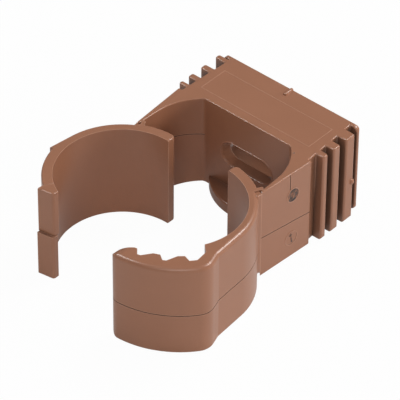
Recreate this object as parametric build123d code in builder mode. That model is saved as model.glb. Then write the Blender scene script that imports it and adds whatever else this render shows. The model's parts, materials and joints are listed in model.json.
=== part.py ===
from build123d import *
import os
from math import atan2, cos, degrees, hypot, radians, sin

# A self-closing clip for a 22 mm pipe, moulded in one piece from copper-brown plastic.
# The origin is on the axis of the held pipe, level with the clip's lower end face.
# +Y points at the wall, +Z runs along the pipe, and +X is the side of the ratchet jaw.
# The jaws are drawn on the closed ring and then swung open about their living hinges.

# Pipe and ring
pipe_diameter = 22.0  # outside diameter of the pipe that the closed ring holds
clip_width = 17.6  # along the pipe
ring_wall = 1.5  # jaw wall between the hinge and the catch
tail_wall = 1.8  # jaw wall between the hinge and the tail that the pipe pushes on
edge_round = 0.3  # softened edges of the jaws' end faces
broad_round = 0.85  # the ratchet jaw's upper edge, between the hinge and the tip
block_edge_round = 0.2  # softened edges of the base's end faces

# Living hinges, where the jaws join the tips of the arms
hinge_inset = 0.85  # from the outside of an arm's tip to the hinge's middle
hinge_setback = 0.9  # from the end of the tip
knuckle_radius = 0.35  # half the thickness of the bead that the jaw turns about
hinge_clearance = 0.08
neck_root = 1.0  # width of the neck where it leaves the jaw
neck_tip = 0.5  # and where it meets the bead

# Jaw angles in degrees, on the closed ring, from the X axis, positive towards the wall
ratchet_open_angle = 36.0
latch_open_angle = 44.0
ratchet_tail_angle = 50.8
latch_tail_angle = 48.0
shoulder_angle = -56.0  # where the strap of the latch jaw begins
latch_flat_angle = -36.0  # where the latch jaw's round wall runs off into a flat
ratchet_flat_angle = -32.0  # and the ratchet jaw's
tail_round = 0.8

# Catch: a hooked strap on the latch jaw snaps past the teeth in the ratchet jaw
strap_wall = 1.8
hook_height = 1.0  # how far the hook stands out of the strap
hook_length = 13.0  # degrees
hook_nose = 1.05  # height of the hook's blunt nose
nose_lean = 2.0  # degrees
nose_round = 0.5
hook_edge_round = 0.2
parting_step = 0.35  # how far the hook's lower half is offset from its upper half
latch_clearance = 0.3
floor_clearance = 0.12  # left over the hook's proud lower half in a tooth pocket
latch_angle = -78.5  # foot of the innermost tooth's holding face
tooth_count = 3
tooth_pitch = 17.0  # degrees
tooth_face = 2.5  # degrees
tooth_land = 5.0  # degrees
tip_land = 2.0  # degrees, on the outermost tooth
tip_lead = 11.6  # degrees of lead-in ramp from there to the jaw's tip
tip_wall = 1.25  # wall left at the end of the ramp
pocket_floor = 5.0  # degrees of flat floor in the innermost pocket
pocket_length = 12.6  # degrees, from the innermost tooth to the recess's end
recess_step = 1.8  # height of the step that ends the recess
step_lean = 2.0  # degrees
ratchet_wall = 2.05  # wall behind the teeth
crease_lead = 7.5  # degrees from the recess's end to the crease outside it
bulge_setback = 1.5  # degrees from there to the bulge's corner, towards the tip
crease_round = 0.6
bulge_round = 3.0
tip_round = 1.8
tip_corner_round = 2.4  # the tip's upper and lower corners, seen from the side
tail_corner_round = 0.8  # the tails'

# Base block and arms
wall_distance = 27.1  # from the pipe's axis to the wall
cavity_depth = 15.7  # from the pipe's axis to the flat at the back of the cavity
cavity_flat = 18.4  # width of that flat
cavity_corner_round = 1.2
plate_overhang = 0.3  # how far the back plate stands out past the arms' roots
plate_corner = 0.5  # of the plate's edges against the wall
plate_end_round = 1.2  # of the plate's upper and lower corners
groove_front = 0.25  # depth of the side grooves below the arms' outsides, at the arms
groove_back = 0.9  # and at the back plate
arm_root_y = 15.1
arm_wall = 1.5  # at an arm's root
arm_tip_y = 3.6
arm_tip_offset = 0.7  # from the line of an arm's inside to the outside of its tip
arm_tip_wall = 0.55
arm_tip_slant = 0.6  # how far the tip's inner corner is set back
arm_clearance = 0.25  # between the closed jaws and the arms' insides, where these become straight
arm_straight_y = 7.8
cavity_side_bow = 0.9  # how far the cavity's rounded sides bow out from their chords

# Side ribs, which key one clip to the next: left ribs slide into right grooves
rib_stations = ((15.9, 17.0), (18.2, 19.6), (21.3, 22.8), (25.0, 26.3))  # Y of each groove
rib_clearance = 0.1
rib_height = 0.6  # how far the ribs stand out past the back plate
rib_root = 0.6  # how deep a rib is rooted in the block
rib_top_round = 1.0
rib_foot_round = 0.6
rib_nose_round = 0.4

# Floor shelf, screw slot and hollow back
shelf_thickness = 1.9
shelf_width = 16.2  # where it leaves the back of the cavity
shelf_reach = 3.8
shelf_round = 0.3
front_wall = 2.0
slot_length = 10.9
slot_height = 4.8
slot_taper = 8.0  # degrees
slot_chamfer = 0.25
pocket_side_wall = 2.6
pocket_end_wall = 2.2
pocket_corner = 1.5

# Worked-out sizes
ring_radius = pipe_diameter / 2
ring_outside = ring_radius + ring_wall
tail_outside = ring_radius + tail_wall
strap_outside = ring_radius + strap_wall
tooth_tip = strap_outside + latch_clearance
tooth_floor = strap_outside + hook_height + parting_step + floor_clearance
bulge_outside = tooth_floor + ratchet_wall
arm_inside_x = ring_outside + arm_clearance
arm_root_x = arm_inside_x + arm_wall
arm_tip_x = arm_inside_x + arm_tip_offset
block_front_x = arm_root_x - groove_front
block_back_x = arm_root_x - groove_back
plate_x = arm_root_x + plate_overhang
rib_reach = plate_x + rib_height
hinge_x = arm_tip_x - hinge_inset
hinge_y = arm_tip_y + hinge_setback
hinge_radius = hypot(hinge_x, hinge_y)
hinge_angle = degrees(atan2(hinge_y, hinge_x))
tooth_slope = tooth_face / (tooth_floor - tooth_tip)
catch_slack = degrees(latch_clearance / tooth_floor)
recess_end_angle = latch_angle + pocket_length
crease_angle = recess_end_angle + crease_lead
lead_angle = latch_angle - (tooth_count - 1) * tooth_pitch - tooth_face - tip_land
tip_angle = lead_angle - tip_lead
face_angle = -180 - latch_angle + tooth_face + tooth_slope * latch_clearance
hook_angle = face_angle - catch_slack
hook_end = hook_angle - hook_length
middle = clip_width / 2


# A point on the closed ring, on the ratchet jaw's side (1) or the latch jaw's side (-1)
def ring_point(radius, angle, side):
    return (side * radius * cos(radians(angle)), radius * sin(radians(angle)))


# An arc about the pipe's axis
def ring_arc(radius, start, end, side):
    angles = (start, (start + end) / 2, end)
    return ThreePointArc([ring_point(radius, angle, side) for angle in angles])


# The radius at which a flat that leaves the round wall at one angle reaches another
def flat_radius(start, angle):
    return ring_outside / cos(radians(start - angle))


# The closed ring's plane, swung open about the hinge on one side
def open_plane(open_angle, side):
    hinge = Vector(side * hinge_x, hinge_y)
    centre = hinge - hinge.rotate(Axis.Z, side * open_angle)
    x_dir = Vector(1, 0, 0).rotate(Axis.Z, side * open_angle)
    return Plane(origin=centre, x_dir=x_dir, z_dir=(0, 0, 1))


# The upright plane at a jaw's tail (way 1) or tip (way -1), with X along the ring and out of the jaw
def end_plane(plane, angle, side, way):
    spot = plane.from_local_coords(Vector(ring_point(ring_radius, angle, side)))
    x_dir = (spot - plane.origin).rotate(Axis.Z, side * way * 90)
    return Plane(origin=spot, x_dir=x_dir, z_dir=x_dir.cross(Vector(0, 0, 1)))


# The neck and bead that join a jaw to its hinge, for the sketch that is open
def draw_knuckle(side):
    along = Vector(ring_point(1, hinge_angle, side))
    across = along.rotate(Axis.Z, 90)
    bead = along * hinge_radius
    root = along * (ring_radius + ring_wall / 2)
    with Locations(bead):
        Circle(knuckle_radius)
    neck = [
        bead + across * neck_tip / 2,
        root + across * neck_root / 2,
        root - across * neck_root / 2,
        bead - across * neck_tip / 2,
    ]
    Polygon(*neck, align=None)


# Edges of the end faces that are softened: all but the bore's, the hinge's and short steps
def rim_edges(part, plane, side):
    ends = part.faces().filter_by(Axis.Z).sort_by(Axis.Z)
    hinge = Vector(side * hinge_x, hinge_y)
    bore_limit = ring_radius + min(ring_wall, tail_wall) / 3

    def is_rim(edge):
        spot = edge.position_at(0.5)
        flat_spot = Vector(spot.X, spot.Y)
        off_bore = (flat_spot - plane.origin).length > bore_limit
        off_hinge = (flat_spot - hinge).length > 2 * neck_root
        return off_bore and off_hinge and edge.length > 2 * edge_round

    return ends[0].edges().filter_by(is_rim) + ends[-1].edges().filter_by(is_rim)


# Whether an edge is on the ratchet jaw's broad upper rim, between the hinge and the tip
def is_broad(edge):
    spot = ratchet_plane.to_local_coords(edge.position_at(0.5))
    return spot.Z > middle and degrees(atan2(spot.Y, spot.X)) < hinge_angle


# Edges of the base's end faces that are softened: the back's, the arms' outsides and, above, the cavity's
def is_soft_rim(edge):
    spot = edge.position_at(0.5)
    at_back = spot.Y > wall_distance - block_edge_round
    at_arm = arm_straight_y < spot.Y < arm_root_y and abs(spot.X) > arm_inside_x
    at_cavity = arm_straight_y < spot.Y <= cavity_depth + block_edge_round and spot.Z > middle
    return at_back or edge.length > cavity_side_bow and (at_arm or at_cavity)


# The slot's rim, at the back of the cavity
def is_slot_rim(edge):
    spot = edge.position_at(0.5)
    at_back = abs(spot.Y - cavity_depth) < slot_chamfer / 10
    return at_back and abs(spot.X) < slot_length / 2 + slot_chamfer and abs(spot.Z - middle) < slot_height


# Edges of the latch jaw's end faces that are softened on the hook: the lead-in face's and the nose's
def is_hook_rim(edge):
    spot = latch_plane.to_local_coords(edge.position_at(0.5))
    angle = degrees(atan2(spot.Y, -spot.X))
    on_hook = hook_end - hook_length < angle < hook_angle - nose_lean
    return on_hook and hypot(spot.X, spot.Y) > ring_radius + parting_step


# Ratchet jaw
ratchet_plane = open_plane(ratchet_open_angle, 1)
tail_end = ring_point(tail_outside, ratchet_tail_angle, 1)
crease = ring_point(flat_radius(ratchet_flat_angle, crease_angle), crease_angle, 1)
bulge_angle = recess_end_angle - bulge_setback
bulge_corner = ring_point(bulge_outside, bulge_angle, 1)
with BuildPart() as ratchet_jaw:
    with BuildSketch(ratchet_plane) as ratchet_plan:
        with BuildLine():
            ring_arc(tail_outside, ratchet_tail_angle, hinge_angle, 1)
            Line(ring_point(tail_outside, hinge_angle, 1), ring_point(ring_outside, hinge_angle, 1))
            ring_arc(ring_outside, hinge_angle, ratchet_flat_angle, 1)
            Line(ring_point(ring_outside, ratchet_flat_angle, 1), crease)
            Line(crease, bulge_corner)
            ring_arc(bulge_outside, bulge_angle, tip_angle, 1)
            Line(ring_point(bulge_outside, tip_angle, 1), ring_point(ring_radius, tip_angle, 1))
            ring_arc(ring_radius, tip_angle, ratchet_tail_angle, 1)
            Line(ring_point(ring_radius, ratchet_tail_angle, 1), tail_end)
        make_face()
        fillet(ratchet_plan.vertices().sort_by_distance(crease)[0], crease_round)
        fillet(ratchet_plan.vertices().sort_by_distance(bulge_corner)[0], bulge_round)
        tip_corner = ring_point(bulge_outside, tip_angle, 1)
        fillet(ratchet_plan.vertices().sort_by_distance(tip_corner)[0], tip_round)
        fillet(ratchet_plan.vertices().sort_by_distance(tail_end)[0], tail_round)
        draw_knuckle(1)
    extrude(amount=clip_width)
    rims = rim_edges(ratchet_jaw.part, ratchet_plane, 1)
    fillet(rims.filter_by(is_broad), broad_round)
    rims = rim_edges(ratchet_jaw.part, ratchet_plane, 1)
    fillet(rims.filter_by(is_broad, reverse=True), edge_round)
    # Upper and lower corners of the tip and the tail
    tip_end = (tip_angle, -1, tip_corner_round)
    for angle, way, corner_round in (tip_end, (ratchet_tail_angle, 1, tail_corner_round)):
        with BuildSketch(end_plane(ratchet_plane, angle, 1, way)):
            Rectangle(2 * corner_round, clip_width, align=(Align.MAX, Align.MIN))
            RectangleRounded(
                4 * corner_round,
                clip_width,
                corner_round,
                align=(Align.MAX, Align.MIN),
                mode=Mode.SUBTRACT,
            )
        extrude(amount=bulge_outside - ring_radius, both=True, mode=Mode.SUBTRACT)
    # Toothed recess, from the step near the hinge to the jaw's tip
    with BuildSketch(ratchet_plane):
        with BuildLine():
            step_foot = ring_point(ring_radius, recess_end_angle + step_lean, 1)
            outline = [step_foot, ring_point(ring_radius + recess_step, recess_end_angle, 1)]
            ramp_foot = latch_angle + pocket_floor
            for tooth in range(tooth_count):
                face_foot = latch_angle - tooth * tooth_pitch
                outline.append(ring_point(tooth_floor, ramp_foot, 1))
                outline.append(ring_point(tooth_floor, face_foot, 1))
                outline.append(ring_point(tooth_tip, face_foot - tooth_face, 1))
                if tooth < tooth_count - 1:
                    outline.append(ring_point(tooth_tip, face_foot - tooth_face - tooth_land, 1))
                ramp_foot = face_foot - tooth_pitch + tooth_face
            outline.append(ring_point(tooth_tip, lead_angle, 1))
            outline.append(ring_point(bulge_outside - tip_wall, tip_angle, 1))
            past_tip = tip_angle - tip_lead
            outline.append(ring_point(bulge_outside, past_tip, 1))
            outline.append(ring_point(ring_radius / 2, past_tip, 1))
            outline.append(ring_point(ring_radius / 2, recess_end_angle + step_lean, 1))
            Polyline(*outline, close=True)
        make_face()
    extrude(amount=clip_width, mode=Mode.SUBTRACT)
ratchet_jaw.part.label = "ratchet_jaw"

# Latch jaw
latch_plane = open_plane(latch_open_angle, -1)
latch_tail = ring_point(tail_outside, latch_tail_angle, -1)
shoulder = ring_point(flat_radius(latch_flat_angle, shoulder_angle), shoulder_angle, -1)
strap_end = ring_point(strap_outside, hook_angle, -1)
with BuildPart() as latch_jaw:
    with BuildSketch(latch_plane) as latch_plan:
        with BuildLine():
            ring_arc(tail_outside, latch_tail_angle, hinge_angle, -1)
            Line(ring_point(tail_outside, hinge_angle, -1), ring_point(ring_outside, hinge_angle, -1))
            ring_arc(ring_outside, hinge_angle, latch_flat_angle, -1)
            Line(ring_point(ring_outside, latch_flat_angle, -1), shoulder)
            Line(shoulder, ring_point(strap_outside, shoulder_angle, -1))
            ring_arc(strap_outside, shoulder_angle, hook_angle, -1)
            Line(strap_end, ring_point(ring_radius, hook_angle, -1))
            ring_arc(ring_radius, hook_angle, latch_tail_angle, -1)
            Line(ring_point(ring_radius, latch_tail_angle, -1), latch_tail)
        make_face()
        fillet(latch_plan.vertices().sort_by_distance(latch_tail)[0], tail_round)
        draw_knuckle(-1)
    extrude(amount=clip_width)
    fillet(rim_edges(latch_jaw.part, latch_plane, -1), edge_round)
    # Upper and lower corners of the tail
    with BuildSketch(end_plane(latch_plane, latch_tail_angle, -1, 1)):
        Rectangle(2 * tail_corner_round, clip_width, align=(Align.MAX, Align.MIN))
        RectangleRounded(
            4 * tail_corner_round,
            clip_width,
            tail_corner_round,
            align=(Align.MAX, Align.MIN),
            mode=Mode.SUBTRACT,
        )
    extrude(amount=2 * tail_wall, both=True, mode=Mode.SUBTRACT)
    # Hook, with its lower half offset from its upper half at the parting line
    for step, start in ((parting_step, 0), (0, middle)):
        turn = degrees(step / strap_outside)
        tip = strap_outside + hook_height
        hook_tip = ring_point(tip + step, hook_angle - tooth_slope * hook_height - turn, -1)
        nose = ring_point(ring_radius + hook_nose + step, hook_end - turn, -1)
        nose_foot_angle = hook_end + nose_lean - turn
        nose_foot = ring_point(ring_radius + step, nose_foot_angle, -1)
        inside = ring_point(ring_radius + step / 2, (nose_foot_angle + hook_angle) / 2, -1)
        strap_foot = ring_point(ring_radius, hook_angle, -1)
        with BuildSketch(latch_plane.offset(start)) as hook_plan:
            with BuildLine():
                Polyline(strap_foot, strap_end, hook_tip, nose, nose_foot)
                ThreePointArc(nose_foot, inside, strap_foot)
            make_face()
            fillet(hook_plan.vertices().sort_by_distance(nose)[0], nose_round)
        extrude(amount=middle)
    levels = latch_jaw.faces().filter_by(Axis.Z).group_by(Axis.Z)
    hook_rims = (levels[0].edges() + levels[-1].edges()).filter_by(is_hook_rim)
    fillet(hook_rims, hook_edge_round)
latch_jaw.part.label = "latch_jaw"

# Rib bank, rounded at the noses and the ends before it joins the block
right_ribs = [
    (groove[1], following[0]) for groove, following in zip(rib_stations, rib_stations[1:])
]
left_ribs = [(start + rib_clearance, end - rib_clearance) for start, end in rib_stations]
root_x = block_back_x - rib_root
bank_start = rib_stations[0][0]
bank_end = rib_stations[-1][1]
with BuildPart() as rib_bank:
    with BuildSketch() as rib_plan:
        for side, ribs in ((1, right_ribs), (-1, left_ribs)):
            for start, end in ribs:
                with Locations((side * (root_x + rib_reach) / 2, (start + end) / 2)):
                    Rectangle(rib_reach - root_x, end - start)
        noses = rib_plan.vertices().filter_by(lambda corner: abs(corner.X) > plate_x)
        fillet(noses, rib_nose_round)
    extrude(amount=clip_width)
    # Rounded heads and feet, seen from the wall
    with BuildSketch(Plane(origin=(0, bank_start, 0), x_dir=(1, 0, 0), z_dir=(0, -1, 0))) as bank_plan:
        with Locations((0, middle)):
            Rectangle(2 * rib_reach, clip_width)
        corners = bank_plan.vertices().group_by(Axis.Y)
        fillet(corners[0], rib_foot_round)
        fillet(corners[-1], rib_top_round)
    extrude(amount=bank_start - bank_end, mode=Mode.INTERSECT)

# Shelf at the foot of the cavity, with its bowed front edge rounded before it joins the block
shelf_radius = (shelf_width**2 / 4 + shelf_reach**2) / (2 * shelf_reach)
with BuildPart() as shelf:
    with BuildSketch():
        with Locations((0, cavity_depth - shelf_reach + shelf_radius)):
            Circle(shelf_radius)
        with Locations((0, cavity_depth)):
            Rectangle(2 * shelf_radius, 2 * shelf_reach, mode=Mode.INTERSECT)
    extrude(amount=shelf_thickness)
    fillet(shelf.edges().filter_by(GeomType.CIRCLE).sort_by(Axis.Z)[-1], shelf_round)

# Base: block, arms, cavity, ribs, shelf, slot and hollow back
with BuildPart() as base:
    with BuildSketch() as base_plan:
        with BuildLine():
            cavity_corner = (cavity_flat / 2, cavity_depth)
            arm_inside = (arm_inside_x, arm_straight_y)
            Polyline(
                (0, cavity_depth),
                (0, wall_distance),
                (plate_x, wall_distance),
                (plate_x, rib_stations[-1][1]),
                (block_back_x, rib_stations[-1][1]),
                (block_front_x, arm_root_y),
                (arm_root_x, arm_root_y),
                (arm_tip_x, arm_tip_y),
                (arm_tip_x - arm_tip_wall, arm_tip_y + arm_tip_slant),
                arm_inside,
            )
            SagittaArc(arm_inside, cavity_corner, -cavity_side_bow)
            Line(cavity_corner, (0, cavity_depth))
        make_face()
        mirror(about=Plane.YZ)
        for side in (1, -1):
            cavity_end = (side * cavity_flat / 2, cavity_depth)
            fillet(base_plan.vertices().sort_by_distance(cavity_end)[0], cavity_corner_round)
            plate_end = (side * plate_x, wall_distance)
            fillet(base_plan.vertices().sort_by_distance(plate_end)[0], plate_corner)
        with Locations((hinge_x, hinge_y), (-hinge_x, hinge_y)):
            Circle(knuckle_radius + hinge_clearance, mode=Mode.SUBTRACT)
    extrude(amount=clip_width)
    ends = base.faces().filter_by(Axis.Z)
    rims = ends[0].edges() + ends[-1].edges()
    fillet(rims.filter_by(is_soft_rim), block_edge_round)
    # Rounded ends of the back plate, seen from the wall
    with BuildSketch(Plane(origin=(0, wall_distance, middle), x_dir=(1, 0, 0), z_dir=(0, -1, 0))):
        Rectangle(2 * rib_reach, clip_width)
        RectangleRounded(2 * plate_x, clip_width, plate_end_round, mode=Mode.SUBTRACT)
    extrude(amount=wall_distance - bank_end, mode=Mode.SUBTRACT)
    add(rib_bank.part)
    add(shelf.part)
    # Hollow back, and the slot for the screw through the wall that is left
    with BuildSketch(Plane(origin=(0, wall_distance, middle), x_dir=(1, 0, 0), z_dir=(0, -1, 0))):
        pocket_width = 2 * (block_back_x - pocket_side_wall)
        RectangleRounded(pocket_width, clip_width - 2 * pocket_end_wall, pocket_corner)
    extrude(amount=wall_distance - cavity_depth - front_wall, mode=Mode.SUBTRACT)
    with BuildSketch(Plane(origin=(0, cavity_depth, middle), x_dir=(1, 0, 0), z_dir=(0, 1, 0))):
        SlotOverall(slot_length, slot_height)
    extrude(amount=front_wall, taper=slot_taper, mode=Mode.SUBTRACT)
    chamfer(base.edges().filter_by(is_slot_rim), slot_chamfer)
base.part.label = "base"

os.makedirs("parts", exist_ok=True)
for piece in (base, ratchet_jaw, latch_jaw):
    export_step(piece.part, f"parts/{piece.part.label}.step")
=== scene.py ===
import bpy
import json
from math import atan2, cos, pi, radians, sin
from mathutils import Matrix, Vector

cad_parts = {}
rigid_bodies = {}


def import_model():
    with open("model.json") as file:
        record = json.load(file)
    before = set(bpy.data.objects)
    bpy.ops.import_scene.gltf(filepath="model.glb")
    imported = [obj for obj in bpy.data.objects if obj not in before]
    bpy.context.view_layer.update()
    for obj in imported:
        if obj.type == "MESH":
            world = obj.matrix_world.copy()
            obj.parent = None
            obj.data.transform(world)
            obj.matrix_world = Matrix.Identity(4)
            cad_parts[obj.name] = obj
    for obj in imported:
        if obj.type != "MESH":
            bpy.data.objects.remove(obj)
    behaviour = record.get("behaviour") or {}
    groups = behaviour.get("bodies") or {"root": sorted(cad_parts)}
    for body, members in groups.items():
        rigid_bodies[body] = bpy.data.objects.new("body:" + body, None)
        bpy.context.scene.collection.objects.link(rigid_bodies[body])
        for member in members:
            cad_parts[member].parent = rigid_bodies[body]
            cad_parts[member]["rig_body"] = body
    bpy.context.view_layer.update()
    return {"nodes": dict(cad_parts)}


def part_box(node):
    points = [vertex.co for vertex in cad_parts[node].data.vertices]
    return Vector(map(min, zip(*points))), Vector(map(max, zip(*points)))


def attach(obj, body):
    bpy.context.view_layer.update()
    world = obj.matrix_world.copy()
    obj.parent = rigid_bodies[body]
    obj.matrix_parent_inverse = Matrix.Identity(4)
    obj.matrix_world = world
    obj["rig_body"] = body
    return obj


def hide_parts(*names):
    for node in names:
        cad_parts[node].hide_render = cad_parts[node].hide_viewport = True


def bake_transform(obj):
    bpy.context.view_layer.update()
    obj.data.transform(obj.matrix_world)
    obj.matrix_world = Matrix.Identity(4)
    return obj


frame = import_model()
nodes = frame["nodes"]
print("frame loaded:", sorted(nodes))

# Sizes that several pieces share
mm = 0.001
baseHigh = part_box("base")[1]
clipTop = baseHigh.z
wallY = baseHigh.y
ribNoseX = baseHigh.x
armRootY = 15.1 * mm  # where the arms end and the grooves begin
facing = 0.9  # a face looks along an axis when its normal has more than this of it
sharpCorner = radians(60)
smoothAngle = radians(35)

# Places of a Mix node's colour sockets, which share their names with others
mixFirst = 6
mixSecond = 7
mixResult = 2


# Node helpers
def addNode(tree, kind, spot, **inputs):
    node = tree.nodes.new(kind)
    node.location = spot
    for name, value in inputs.items():
        node.inputs[name.replace("_", " ")].default_value = value
    return node


def link(tree, source, output, target, socket):
    tree.links.new(source.outputs[output], target.inputs[socket])


def addColorMix(tree, spot, **colors):
    mix = addNode(tree, "ShaderNodeMix", spot)
    mix.data_type = "RGBA"
    for name, socket in (("first", mixFirst), ("second", mixSecond)):
        if name in colors:
            mix.inputs[socket].default_value = colors[name]
    return mix


def addMath(tree, spot, operation):
    node = addNode(tree, "ShaderNodeMath", spot)
    node.operation = operation
    return node


# Moulded plastic
copperPlastic = {
    "name": "copper_brown_plastic",
    "light": (0.392, 0.170, 0.094, 1.0),
    "dark": (0.341, 0.148, 0.081, 1.0),
    "roughness": 0.33,
    "roughnessSpread": 0.06,
    "specular": 0.5,
    "cloudSize": 6 * mm,
    "cloudDetail": 5.0,
    "cloudRoughness": 0.6,
    "grainSize": 0.35 * mm,
    "grainDetail": 2.0,
    "grainHeight": 0.012 * mm,
    # Painted shade: a dark colour laid into grooves, corners and recesses
    "paintedShade": (0.130, 0.066, 0.042, 1.0),
    "paintedShadeReach": 7.0 * mm,
    "paintedShadeFull": 0.34,  # openness of a corner at which the painted shade is full
    "paintedShadeClear": 0.85,  # openness from which a face has no painted shade
    # Painted highlight: a lighter colour laid along convex edges where light catches them
    "paintedHighlight": (0.620, 0.350, 0.240, 1.0),
    "paintedHighlightReach": 0.22 * mm,
    "paintedHighlightFull": 0.90,  # cosine of the turn at an edge that gets the full painted highlight
    "paintedHighlightNone": 0.995,  # cosine of the turn from which no highlight is painted
    "paintedHighlightMost": 0.6,
    "samples": 8,
}


# How open each spot is: painted shade darkens the grooves, corners and recesses where shade falls
def addPaintedShadeMask(tree, look):
    corners = addNode(tree, "ShaderNodeAmbientOcclusion", (-950, 500), Distance=look["paintedShadeReach"])
    corners.only_local = True
    corners.samples = look["samples"]
    unshaded = addNode(
        tree, "ShaderNodeMapRange", (-600, 550),
        From_Min=look["paintedShadeFull"], From_Max=look["paintedShadeClear"],
    )
    link(tree, corners, "AO", unshaded, "Value")
    return unshaded


# Painted highlight: how much lighter each convex edge is made, except where painted shade lies
def addPaintedHighlightMask(tree, look, unshaded):
    edges = addNode(tree, "ShaderNodeBevel", (-1200, 850), Radius=look["paintedHighlightReach"])
    edges.samples = look["samples"]
    surface = addNode(tree, "ShaderNodeNewGeometry", (-1200, 650))
    turn = addNode(tree, "ShaderNodeVectorMath", (-950, 800))
    turn.operation = "DOT_PRODUCT"
    link(tree, edges, "Normal", turn, 0)
    link(tree, surface, "Normal", turn, 1)
    edgeHighlight = addNode(
        tree, "ShaderNodeMapRange", (-600, 850),
        From_Min=look["paintedHighlightFull"], From_Max=look["paintedHighlightNone"], To_Min=look["paintedHighlightMost"], To_Max=0.0,
    )
    link(tree, turn, "Value", edgeHighlight, "Value")
    highlightAmount = addMath(tree, (-300, 700), "MULTIPLY")
    link(tree, edgeHighlight, "Result", highlightAmount, 0)
    link(tree, unshaded, "Result", highlightAmount, 1)
    return highlightAmount


def makePlastic(look):
    material = bpy.data.materials.new(look["name"])
    material.use_nodes = True
    tree = material.node_tree
    shader = tree.nodes["Principled BSDF"]
    shader.inputs["Specular IOR Level"].default_value = look["specular"]
    place = addNode(tree, "ShaderNodeTexCoord", (-1200, 0))
    clouds = addNode(
        tree, "ShaderNodeTexNoise", (-950, 200),
        Scale=1 / look["cloudSize"], Detail=look["cloudDetail"], Roughness=look["cloudRoughness"],
    )
    link(tree, place, "Object", clouds, "Vector")
    # Colour: clouds, then painted shade in grooves and corners over them, then painted highlights on the
    # edges over both
    tint = addColorMix(tree, (-600, 250), first=look["dark"], second=look["light"])
    link(tree, clouds, "Fac", tint, "Factor")
    unshaded = addPaintedShadeMask(tree, look)
    paintedShadeTint = addColorMix(tree, (-300, 400), first=look["paintedShade"])
    link(tree, unshaded, "Result", paintedShadeTint, "Factor")
    link(tree, tint, mixResult, paintedShadeTint, mixSecond)
    highlightAmount = addPaintedHighlightMask(tree, look, unshaded)
    paintedHighlight = addColorMix(tree, (-100, 500), second=look["paintedHighlight"])
    link(tree, highlightAmount, "Value", paintedHighlight, "Factor")
    link(tree, paintedShadeTint, mixResult, paintedHighlight, mixFirst)
    link(tree, paintedHighlight, mixResult, shader, "Base Color")
    # Satin that differs a little from place to place
    gloss = addNode(
        tree, "ShaderNodeMapRange", (-600, 0),
        To_Min=look["roughness"] - look["roughnessSpread"],
        To_Max=look["roughness"] + look["roughnessSpread"],
    )
    link(tree, clouds, "Fac", gloss, "Value")
    link(tree, gloss, "Result", shader, "Roughness")
    # Fine grain of the mould
    grain = addNode(
        tree, "ShaderNodeTexNoise", (-950, -250),
        Scale=1 / look["grainSize"], Detail=look["grainDetail"],
    )
    link(tree, place, "Object", grain, "Vector")
    bump = addNode(tree, "ShaderNodeBump", (-600, -250), Strength=1.0, Distance=look["grainHeight"])
    link(tree, grain, "Fac", bump, "Height")
    link(tree, bump, "Normal", shader, "Normal")
    return material


plastic = makePlastic(copperPlastic)
for node in nodes.values():
    node.data.materials.clear()
    node.data.materials.append(plastic)

# Dirt that sits in the mould marks
markDirt = {
    "name": "mark_dirt",
    "color": (0.055, 0.045, 0.042, 1.0),
    "roughness": 0.6,
    "speckSize": 0.8 * mm,
    "speckDetail": 3.0,
    "clearFrom": 0.45,
    "clearTo": 0.62,
}


def makeDirt(look, clean):
    material = bpy.data.materials.new(look["name"])
    material.use_nodes = True
    tree = material.node_tree
    shader = tree.nodes["Principled BSDF"]
    shader.inputs["Roughness"].default_value = look["roughness"]
    place = addNode(tree, "ShaderNodeTexCoord", (-900, 0))
    specks = addNode(
        tree, "ShaderNodeTexNoise", (-700, 0),
        Scale=1 / look["speckSize"], Detail=look["speckDetail"],
    )
    link(tree, place, "Object", specks, "Vector")
    patches = addNode(
        tree, "ShaderNodeMapRange", (-500, 0),
        From_Min=look["clearFrom"], From_Max=look["clearTo"],
    )
    link(tree, specks, "Fac", patches, "Value")
    tint = addColorMix(tree, (-250, 0), first=look["color"], second=clean)
    link(tree, patches, "Result", tint, "Factor")
    link(tree, tint, mixResult, shader, "Base Color")
    return material


dirt = makeDirt(markDirt, copperPlastic["dark"])
print("materials made")


# Modelling helpers
def activate(piece):
    bpy.ops.object.select_all(action="DESELECT")
    piece.select_set(True)
    bpy.context.view_layer.objects.active = piece


# Puts the new piece's place, turn and scale into its mesh
def applyPlace():
    bpy.ops.object.transform_apply(location=True, rotation=True, scale=True)
    return bpy.context.object


def startEdit(piece, mode="FACE"):
    activate(piece)
    bpy.ops.object.mode_set(mode="EDIT")
    bpy.ops.mesh.select_mode(type=mode)
    bpy.ops.mesh.select_all(action="SELECT")


def endEdit():
    bpy.ops.object.mode_set(mode="OBJECT")


# Opens a piece for editing with only the wanted faces picked
def editFaces(piece, isWanted):
    startEdit(piece)
    bpy.ops.mesh.select_all(action="DESELECT")
    endEdit()
    for face in piece.data.polygons:
        face.select = isWanted(face.center, face.normal)
    bpy.ops.object.mode_set(mode="EDIT")


# Opens a piece for editing with only the wanted points picked
def editPoints(piece, isWanted):
    startEdit(piece, "VERT")
    bpy.ops.mesh.select_all(action="DESELECT")
    endEdit()
    for point in piece.data.vertices:
        point.select = isWanted(point.co)
    bpy.ops.object.mode_set(mode="EDIT")


# Opens a piece for editing with only those sharp edges picked that have both ends wanted
def editSharpEdges(piece, sharp, isWanted):
    startEdit(piece, "EDGE")
    bpy.ops.mesh.select_all(action="DESELECT")
    bpy.ops.mesh.edges_select_sharp(sharpness=sharp)
    endEdit()
    points = piece.data.vertices
    for edge in piece.data.edges:
        edge.select = edge.select and all(isWanted(points[end].co) for end in edge.vertices)
    bpy.ops.object.mode_set(mode="EDIT")


def applyModifier(piece, kind, **settings):
    activate(piece)
    modifier = piece.modifiers.new(kind.lower(), kind)
    for key, value in settings.items():
        setattr(modifier, key, value)
    bpy.ops.object.modifier_apply(modifier=modifier.name)


def softenEdges(piece, width, sharp=sharpCorner, segments=2):
    applyModifier(
        piece, "BEVEL", width=width, segments=segments, limit_method="ANGLE",
        angle_limit=sharp, miter_outer="MITER_ARC",
    )


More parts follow.
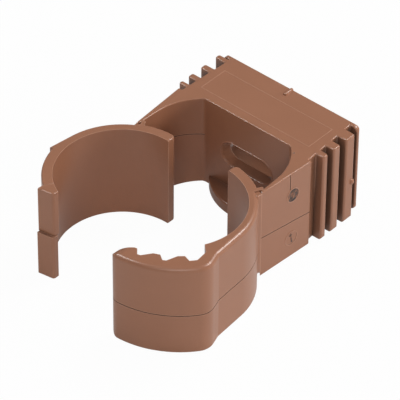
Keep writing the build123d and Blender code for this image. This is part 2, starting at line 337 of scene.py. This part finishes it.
# Sinks a dish into the upper face of a disc, with dirt on its floor where wanted
def sinkDish(disc, rim, depth, isDirty):
    for coat in (plastic, dirt):
        disc.data.materials.append(coat)
    editFaces(disc, lambda spot, normal: normal.z > facing)
    bpy.ops.mesh.inset(thickness=rim)
    bpy.ops.mesh.extrude_region_move(TRANSFORM_OT_translate={"value": (0, 0, -depth)})
    if isDirty:
        disc.active_material_index = 1
        bpy.ops.object.material_slot_assign()
    endEdit()


def finishShape(piece, name, smooth=smoothAngle):
    activate(piece)
    applyPlace()
    bpy.ops.object.shade_smooth_by_angle(angle=smooth)
    piece.name = name
    if not piece.data.materials:
        piece.data.materials.append(plastic)


# A place on an upright face: Z out of the face, Y up and X along it
def standOn(spot, outward, lean):
    out = Vector(outward).normalized()
    up = Vector((0, 0, 1))
    turn = Matrix((up.cross(out), up, out)).transposed()
    return Matrix.Translation(spot) @ turn.to_4x4() @ Matrix.Rotation(lean, 4, "Z")


# The moulding again, node by node, with worn edges that each catch a line of light
skinPlan = {"merge": 0.001 * mm, "flat": radians(0.3), "edge": 0.10 * mm, "sharp": radians(38)}


def copyNode(node, plan):
    piece = bpy.data.objects.new(node.name + "_skin", node.data.copy())
    bpy.context.scene.collection.objects.link(piece)
    activate(piece)
    bpy.ops.mesh.customdata_custom_splitnormals_clear()
    startEdit(piece)
    bpy.ops.mesh.remove_doubles(threshold=plan["merge"])
    bpy.ops.mesh.dissolve_limited(angle_limit=plan["flat"])
    endEdit()
    return piece


# Grooves between the ribs, a little deeper than in the solid
groovePlan = {"x": (13.2 * mm, 14.1 * mm), "y": (armRootY, 26.4 * mm), "deeper": 0.4 * mm}


def deepenGrooves(piece, plan, side):
    def isFloor(spot, normal):
        inWidth = plan["x"][0] < side * spot.x < plan["x"][1]
        inDepth = plan["y"][0] < spot.y < plan["y"][1]
        return inWidth and inDepth and side * normal.x > facing

    editFaces(piece, isFloor)
    bpy.ops.transform.translate(value=(-side * plan["deeper"], 0, 0))
    endEdit()


# Rounded upper corner of an arm's tip, cut by a block with a round core taken out of it
tipPlan = {"x": 13.2 * mm, "y": 3.6 * mm, "round": 0.55 * mm, "reach": 3.0 * mm}


def roundTip(piece, plan, side):
    size = plan["round"]
    bpy.ops.mesh.primitive_cube_add(
        size=1, location=(side * plan["x"], plan["y"], clipTop),
        scale=(plan["reach"], 2 * size, 2 * size),
    )
    cutter = applyPlace()
    bpy.ops.mesh.primitive_cylinder_add(
        vertices=48, radius=size, depth=2 * plan["reach"], rotation=(0, pi / 2, 0),
        location=(side * plan["x"], plan["y"] + size, clipTop - size),
    )
    core = bpy.context.object
    applyModifier(cutter, "BOOLEAN", operation="DIFFERENCE", object=core)
    applyModifier(piece, "BOOLEAN", operation="DIFFERENCE", object=cutter)
    for helper in (core, cutter):
        bpy.data.objects.remove(helper)


# Rounded upper edges: the ribs on both sides, and the rim of the cavity between them
topPlan = {
    "ribs": {"x": (12.5 * mm, 20 * mm), "y": (15.2 * mm, wallY - 0.6 * mm), "round": 0.28 * mm},
    "rim": {"x": (0, 12.4 * mm), "y": (5.6 * mm, wallY - 2 * mm), "round": 0.2 * mm},
}
topWithin = 0.005 * mm


def roundTop(piece, plan):
    def isOnTop(spot):
        isLevel = abs(spot.z - clipTop) < topWithin
        inWidth = plan["x"][0] <= abs(spot.x) <= plan["x"][1]
        return isLevel and inWidth and plan["y"][0] < spot.y < plan["y"][1]

    editSharpEdges(piece, sharpCorner, isOnTop)
    bpy.ops.mesh.bevel(offset=plan["round"], segments=4, affect="EDGES", clamp_overlap=False)
    endEdit()


# Fine lines left by the mould: the faces that carry them, and where they run
lineFaces = {
    "armX": 13 * mm,
    "cavityX": -9 * mm,
    "cavityY": 7 * mm,
    "cavityFacing": 0.3,
    "ratchetMiddle": Vector((5.05 * mm, -6.55 * mm)),
    "ratchetFacing": 0.5,
    "ratchetHinge": Vector((12.6 * mm, 4.5 * mm)),
    "hingeRoom": 1.2 * mm,
}
witnessLow = 14.3 * mm  # lower end of the upright line over the upper mark


def isArmOutside(spot, normal):
    return normal.x > facing and spot.x > lineFaces["armX"] and spot.y < armRootY


def isAboveMark(spot, normal):
    return isArmOutside(spot, normal) and spot.z > witnessLow


def isCavityLeft(spot, normal):
    inCavity = spot.x < lineFaces["cavityX"] and spot.y > lineFaces["cavityY"]
    return inCavity and normal.x > lineFaces["cavityFacing"]


def isRatchetOutside(spot, normal):
    outward = (spot.to_2d() - lineFaces["ratchetMiddle"]).normalized()
    offHinge = (spot.to_2d() - lineFaces["ratchetHinge"]).length > lineFaces["hingeRoom"]
    return offHinge and outward.dot(normal.to_2d()) > lineFaces["ratchetFacing"]


mouldLines = {
    "base": (
        {"point": (0, 10 * mm, 7.45 * mm), "across": (0, 0.1, 1), "isHere": isArmOutside},
        {"point": (0, 11 * mm, 10.6 * mm), "across": (0, 0.12, 1), "isHere": isCavityLeft},
        {"point": (0, 10.2 * mm, witnessLow), "across": (0, 1, 0), "isHere": isAboveMark, "low": witnessLow},
    ),
    "ratchet_jaw": (
        {"point": (0, 0, 7.85 * mm), "across": (0, 0, 1), "isHere": isRatchetOutside},
    ),
    "latch_jaw": (),
}
lineSize = {"width": 0.18 * mm, "depth": 0.12 * mm}


def cutAcross(piece, spot, across):
    startEdit(piece)
    bpy.ops.mesh.bisect(plane_co=spot, plane_no=across)
    endEdit()


# Two cuts close together, and the faces between them pushed in
def cutLine(piece, line, size):
    across = Vector(line["across"]).normalized()
    middle = Vector(line["point"])
    half = across * size["width"] / 2
    if "low" in line:  # an upright line stops at this level
        cutAcross(piece, (0, 0, line["low"]), (0, 0, 1))
    cutAcross(piece, middle - half, across)
    cutAcross(piece, middle + half, across)

    def isInLine(spot, normal):
        return abs((spot - middle).dot(across)) < half.length and line["isHere"](spot, normal)

    editFaces(piece, isInLine)
    bpy.ops.mesh.extrude_region_shrink_fatten(TRANSFORM_OT_shrink_fatten={"value": -size["depth"]})
    endEdit()


# What only the base has, before its edges are worn
def shapeBase(piece):
    for side in (1, -1):
        deepenGrooves(piece, groovePlan, side)
    for side in (1, -1):
        roundTip(piece, tipPlan, side)
    for plan in topPlan.values():
        roundTop(piece, plan)


for name, node in nodes.items():
    skin = copyNode(node, skinPlan)
    if name == "base":
        shapeBase(skin)
    softenEdges(skin, skinPlan["edge"], skinPlan["sharp"])
    for line in mouldLines[name]:
        cutLine(skin, line, lineSize)
    finishShape(skin, name + "_skin")
    applyModifier(skin, "WEIGHTED_NORMAL", keep_sharp=True)
    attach(skin, node["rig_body"])
    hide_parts(name)
    print(skin.name, "made,", len(skin.data.polygons), "faces")

# Thin webs of the living hinges, from the arms' tips to the jaws' walls
webPlan = {
    "ratchet_jaw": ((13.45 * mm, 3.72 * mm), (13.40 * mm, 2.80 * mm)),
    "latch_jaw": ((-13.45 * mm, 3.72 * mm), (-13.42 * mm, 3.00 * mm)),
}
webSize = {
    "thickness": 1.0 * mm,
    "bite": 0.12 * mm,
    "low": 0.9 * mm,
    "drop": 0.18 * mm,
    "edge": 0.10 * mm,
    "cuts": 5,
}


def makeWeb(jaw, size):
    arm, wall = (Vector(spot) for spot in webPlan[jaw])
    run = wall - arm
    outward = Vector((-run.y, run.x)).normalized()
    if outward.x * arm.x < 0:
        outward = -outward
    spot = (arm + wall) / 2 - outward * size["thickness"] / 2
    height = clipTop - size["drop"] - size["low"]
    level = size["low"] + height / 2
    bpy.ops.mesh.primitive_cube_add(
        size=1, location=(*spot, level), rotation=(0, 0, atan2(run.y, run.x)),
        scale=(run.length + 2 * size["bite"], size["thickness"], height),
    )
    web = applyPlace()
    softenEdges(web, size["edge"])
    startEdit(web)
    bpy.ops.mesh.subdivide(number_cuts=size["cuts"])
    endEdit()
    finishShape(web, jaw + "_web")
    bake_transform(web)


for jaw in webPlan:
    makeWeb(jaw, webSize)
print("webs made")

# The right arm's outside, on which the mould left its marks
armTip = Vector((13.45 * mm, 3.6 * mm, 0))
armRoot = Vector((14.25 * mm, armRootY, 0))
armOutward = (armRoot - armTip).cross(Vector((0, 0, 1)))


def armSpot(y, z):
    along = (y - armTip.y) / (armRoot.y - armTip.y)
    return armTip.lerp(armRoot, along) + Vector((0, 0, z))


# Round marks, each with an arrow in a shallow dish
markPlan = {
    "upper_mark": {"spot": (10.88 * mm, 12.95 * mm), "lean": radians(-12), "isDirty": True},
    "lower_mark": {"spot": (10.72 * mm, 3.89 * mm), "lean": radians(8), "isDirty": False},
}
markSize = {
    "radius": 1.4 * mm,
    "rim": 0.16 * mm,
    "proud": 0.06 * mm,
    "sunk": 0.18 * mm,
    "dish": 0.05 * mm,
    "arrowWidth": 0.3 * mm,
    "arrowLength": 1.5 * mm,
    "arrowHeight": 0.05 * mm,
    "headRadius": 0.42 * mm,
}


# A bar with a three-cornered head, on the dish's floor
def makeArrow(size):
    floor = size["proud"] - size["dish"]
    bpy.ops.mesh.primitive_cube_add(
        size=1, location=(0, -size["arrowWidth"] / 2, floor),
        scale=(size["arrowWidth"], size["arrowLength"], 2 * size["arrowHeight"]),
    )
    bar = applyPlace()
    bpy.ops.mesh.primitive_cylinder_add(
        vertices=3, radius=size["headRadius"], depth=2 * size["arrowHeight"],
        location=(0, size["arrowLength"] / 2, floor),
    )
    head = applyPlace()
    for stroke in (bar, head):
        stroke.data.materials.append(dirt)
    return bar, head


def makeMark(name, size):
    plan = markPlan[name]
    bpy.ops.mesh.primitive_cylinder_add(
        vertices=40, radius=size["radius"], depth=size["proud"] + size["sunk"],
        location=(0, 0, (size["proud"] - size["sunk"]) / 2),
    )
    mark = applyPlace()
    sinkDish(mark, size["rim"], size["dish"], plan["isDirty"])
    strokes = makeArrow(size)
    activate(mark)
    for stroke in strokes:
        stroke.select_set(True)
    bpy.ops.object.join()
    mark.matrix_world = standOn(armSpot(*plan["spot"]), armOutward, plan["lean"])
    finishShape(mark, name)
    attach(mark, "base")


for name in markPlan:
    makeMark(name, markSize)
print("marks on the arm made")

# Half-round bead across the back edge, in the middle of the upper end face
beadPlan = {"length": 2.0 * mm, "radius": 0.32 * mm, "edge": 0.12 * mm}


def makeBead(plan):
    bpy.ops.mesh.primitive_cylinder_add(
        vertices=24, radius=plan["radius"], depth=plan["length"], rotation=(pi / 2, 0, 0),
        location=(0, wallY - plan["length"] / 2, clipTop),
    )
    bead = applyPlace()
    softenEdges(bead, plan["edge"], segments=3)
    finishShape(bead, "centre_bead")
    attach(bead, "base")


makeBead(beadPlan)

# Torn stub of the gate on the last rib
gatePlan = {
    "y": 24.5 * mm,
    "z": 7.9 * mm,
    "radius": 0.5 * mm,
    "stretch": (0.8, 1.0, 1.15),
    "tear": 0.12 * mm,
    "seed": 4,
}


def makeGate(plan):
    bpy.ops.mesh.primitive_uv_sphere_add(
        segments=14, ring_count=9, radius=plan["radius"], location=(ribNoseX, plan["y"], plan["z"]),
        scale=plan["stretch"],
    )
    stub = applyPlace()
    startEdit(stub, "VERT")
    bpy.ops.transform.vertex_random(offset=plan["tear"], seed=plan["seed"])
    endEdit()
    applyModifier(stub, "SUBSURF", levels=1, render_levels=1)
    finishShape(stub, "gate_stub", sharpCorner)
    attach(stub, "base")


makeGate(gatePlan)

# Border of the mould insert on the upper end face
borderPlan = {
    "width": 23.2 * mm,
    "front": 17.5 * mm,
    "back": 23.5 * mm,
    "line": 0.12 * mm,
    "proud": 0.025 * mm,
}


def makeBorder(plan):
    depth = plan["back"] - plan["front"]
    bpy.ops.mesh.primitive_plane_add(size=1, location=(0, plan["front"] + depth / 2, clipTop))
    bpy.context.object.scale = (plan["width"], depth, 1)
    border = applyPlace()
    startEdit(border)
    bpy.ops.mesh.inset(thickness=plan["line"])
    bpy.ops.mesh.delete(type="FACE")
    endEdit()
    applyModifier(border, "SOLIDIFY", thickness=2 * plan["proud"], offset=0)
    softenEdges(border, plan["proud"] / 3, segments=1)
    finishShape(border, "insert_border")
    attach(border, "base")


makeBorder(borderPlan)

# Small pin mark beside the cavity's corner
pinPlan = {"spot": (10.8 * mm, 14.7 * mm), "radius": 0.24 * mm, "rim": 0.07 * mm, "proud": 0.03 * mm}


def makePin(plan):
    bpy.ops.mesh.primitive_cylinder_add(
        vertices=24, radius=plan["radius"], depth=2 * plan["proud"], location=(*plan["spot"], clipTop),
    )
    pin = applyPlace()
    sinkDish(pin, plan["rim"], plan["proud"] / 2, True)
    finishShape(pin, "pin_mark")
    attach(pin, "base")


makePin(pinPlan)

# Raised lip round the screw slot: a ring whose halves are moved apart
lipPlan = {"y": 15.73 * mm, "radius": 2.52 * mm, "run": 3.05 * mm, "thickness": 0.13 * mm}


def makeLip(plan):
    bpy.ops.mesh.primitive_torus_add(
        major_segments=64, minor_segments=12,
        major_radius=plan["radius"], minor_radius=plan["thickness"],
    )
    lip = bpy.context.object
    for side in (1, -1):
        editPoints(lip, lambda spot: side * spot.x > 0)
        bpy.ops.transform.translate(value=(side * plan["run"], 0, 0))
        endEdit()
    lip.rotation_euler = (pi / 2, 0, 0)
    lip.location = (0, plan["y"], clipTop / 2)
    finishShape(lip, "slot_lip")
    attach(lip, "base")


makeLip(lipPlan)
print("bead, gate, border, pin and lip made")

# Floor and backdrop in one, white to the camera
floorPlan = {
    "size": 4.0,
    "color": (0.75, 0.75, 0.75, 1.0),
    "roughness": 0.9,
    "white": 0.97,
    "mirror": 0.3,
    "drop": 0.02 * mm,
}


def makeFloor(plan):
    bpy.ops.mesh.primitive_plane_add(size=plan["size"], location=(0, 0, -plan["drop"]))
    floor = bpy.context.object
    floor.name = "studio_floor"
    material = bpy.data.materials.new("studio_white")
    material.use_nodes = True
    tree = material.node_tree
    shader = tree.nodes["Principled BSDF"]
    shader.inputs["Base Color"].default_value = plan["color"]
    shader.inputs["Roughness"].default_value = plan["roughness"]
    white = addNode(tree, "ShaderNodeEmission", (0, 200), Strength=1.0)
    path = addNode(tree, "ShaderNodeLightPath", (-800, 400))
    either = addMath(tree, (-250, 400), "MAXIMUM")
    rays = (("Is Camera Ray", plan["white"], 500), ("Is Glossy Ray", plan["mirror"], 300))
    for socket, (ray, share, level) in enumerate(rays):
        seen = addMath(tree, (-500, level), "MULTIPLY")
        seen.inputs[1].default_value = share
        link(tree, path, ray, seen, 0)
        link(tree, seen, "Value", either, socket)
    mix = addNode(tree, "ShaderNodeMixShader", (250, 200))
    link(tree, either, "Value", mix, "Fac")
    link(tree, shader, "BSDF", mix, 1)
    link(tree, white, "Emission", mix, 2)
    link(tree, mix, "Shader", tree.nodes["Material Output"], "Surface")
    floor.data.materials.append(material)


makeFloor(floorPlan)

# Card that keeps most light out of the hollow back, as the wall does, and that no camera sees
cardPlan = {
    "width": 25 * mm,
    "height": 14 * mm,
    "gap": 5.0 * mm,
    "color": (0.30, 0.18, 0.12, 1.0),
    "roughness": 0.9,
}


def makeCard(plan):
    bpy.ops.mesh.primitive_plane_add(
        size=1, location=(0, wallY + plan["gap"], clipTop / 2), rotation=(pi / 2, 0, 0),
    )
    card = bpy.context.object
    card.scale = (plan["width"], plan["height"], 1)
    card.name = "wall_card"
    card.visible_camera = False
    material = bpy.data.materials.new("card_brown")
    material.use_nodes = True
    shader = material.node_tree.nodes["Principled BSDF"]
    shader.inputs["Base Color"].default_value = plan["color"]
    shader.inputs["Roughness"].default_value = plan["roughness"]
    card.data.materials.append(material)


makeCard(cardPlan)

# Studio light: each lamp's name, place, size and power, and what shows it: matte, gloss or both
studio = {
    "world": 0.26,
    "backdrop": 1.0,
    "aim": (0, 3 * mm, 9 * mm),
    "lamps": (
        ("key_right", (0.58, 0.46, 0.22), 0.30, 2.05, "matte"),
        ("key_back", (0.05, 0.40, 0.60), 0.30, 2.1, "matte"),
        ("fill_camera", (0.40, -0.46, 0.52), 0.40, 1.8, "both"),
        ("fill_left", (-0.62, -0.10, 0.25), 0.30, 0.5, "matte"),
        ("edge_left", (-0.40, -0.22, 0.66), 0.25, 4.5, "gloss"),
        ("edge_right", (0.25, 0.46, 0.60), 0.25, 4.5, "gloss"),
    ),
}


def makeWorld(setup):
    world = bpy.data.worlds.new("studio_world")
    bpy.context.scene.world = world
    world.use_nodes = True
    tree = world.node_tree
    sky = tree.nodes["Background"]
    sky.inputs["Color"].default_value = (1, 1, 1, 1)
    path = addNode(tree, "ShaderNodeLightPath", (-600, 200))
    strength = addNode(
        tree, "ShaderNodeMapRange", (-300, 100),
        To_Min=setup["world"], To_Max=setup["backdrop"],
    )
    link(tree, path, "Is Camera Ray", strength, "Value")
    link(tree, strength, "Result", sky, "Strength")


def makeLamps(setup):
    for name, spot, size, power, shown in setup["lamps"]:
        lamp = bpy.data.lights.new(name, "AREA")
        lamp.size = size
        lamp.energy = power
        holder = bpy.data.objects.new(name, lamp)
        holder.location = spot
        aim = Vector(setup["aim"]) - Vector(spot)
        holder.rotation_euler = aim.to_track_quat("-Z", "Y").to_euler()
        holder.visible_diffuse = shown != "gloss"
        holder.visible_glossy = shown != "matte"
        bpy.context.scene.collection.objects.link(holder)


makeWorld(studio)
makeLamps(studio)

# Camera at the photograph's angle
shot = {
    "azimuth": 40.91,
    "elevation": 40.39,
    "roll": 0.50,
    "distance": 0.588,
    "target": (0.42 * mm, 3.67 * mm, 8.82 * mm),
    "sensor": 36,
    "lens": 326.0,
    "near": 0.01,
}


def makeCamera(plan):
    azimuth, elevation, roll = (radians(plan[key]) for key in ("azimuth", "elevation", "roll"))
    outward = Vector((sin(azimuth), -cos(azimuth), 0))
    back = outward * cos(elevation) + Vector((0, 0, sin(elevation)))
    right = Vector((cos(azimuth), sin(azimuth), 0))
    up = back.cross(right)
    turnedRight = right * cos(roll) + up * sin(roll)
    turnedUp = up * cos(roll) - right * sin(roll)
    lens = bpy.data.cameras.new("photo_camera")
    lens.sensor_width = plan["sensor"]
    lens.lens = plan["lens"]
    lens.clip_start = plan["near"]
    camera = bpy.data.objects.new("photo_camera", lens)
    spot = Vector(plan["target"]) + back * plan["distance"]
    turn = Matrix((turnedRight, turnedUp, back)).transposed()
    camera.matrix_world = Matrix.Translation(spot) @ turn.to_4x4()
    bpy.context.scene.collection.objects.link(camera)
    bpy.context.scene.camera = camera


makeCamera(shot)
bpy.context.scene.view_settings.view_transform = "Standard"
print("light and camera set")
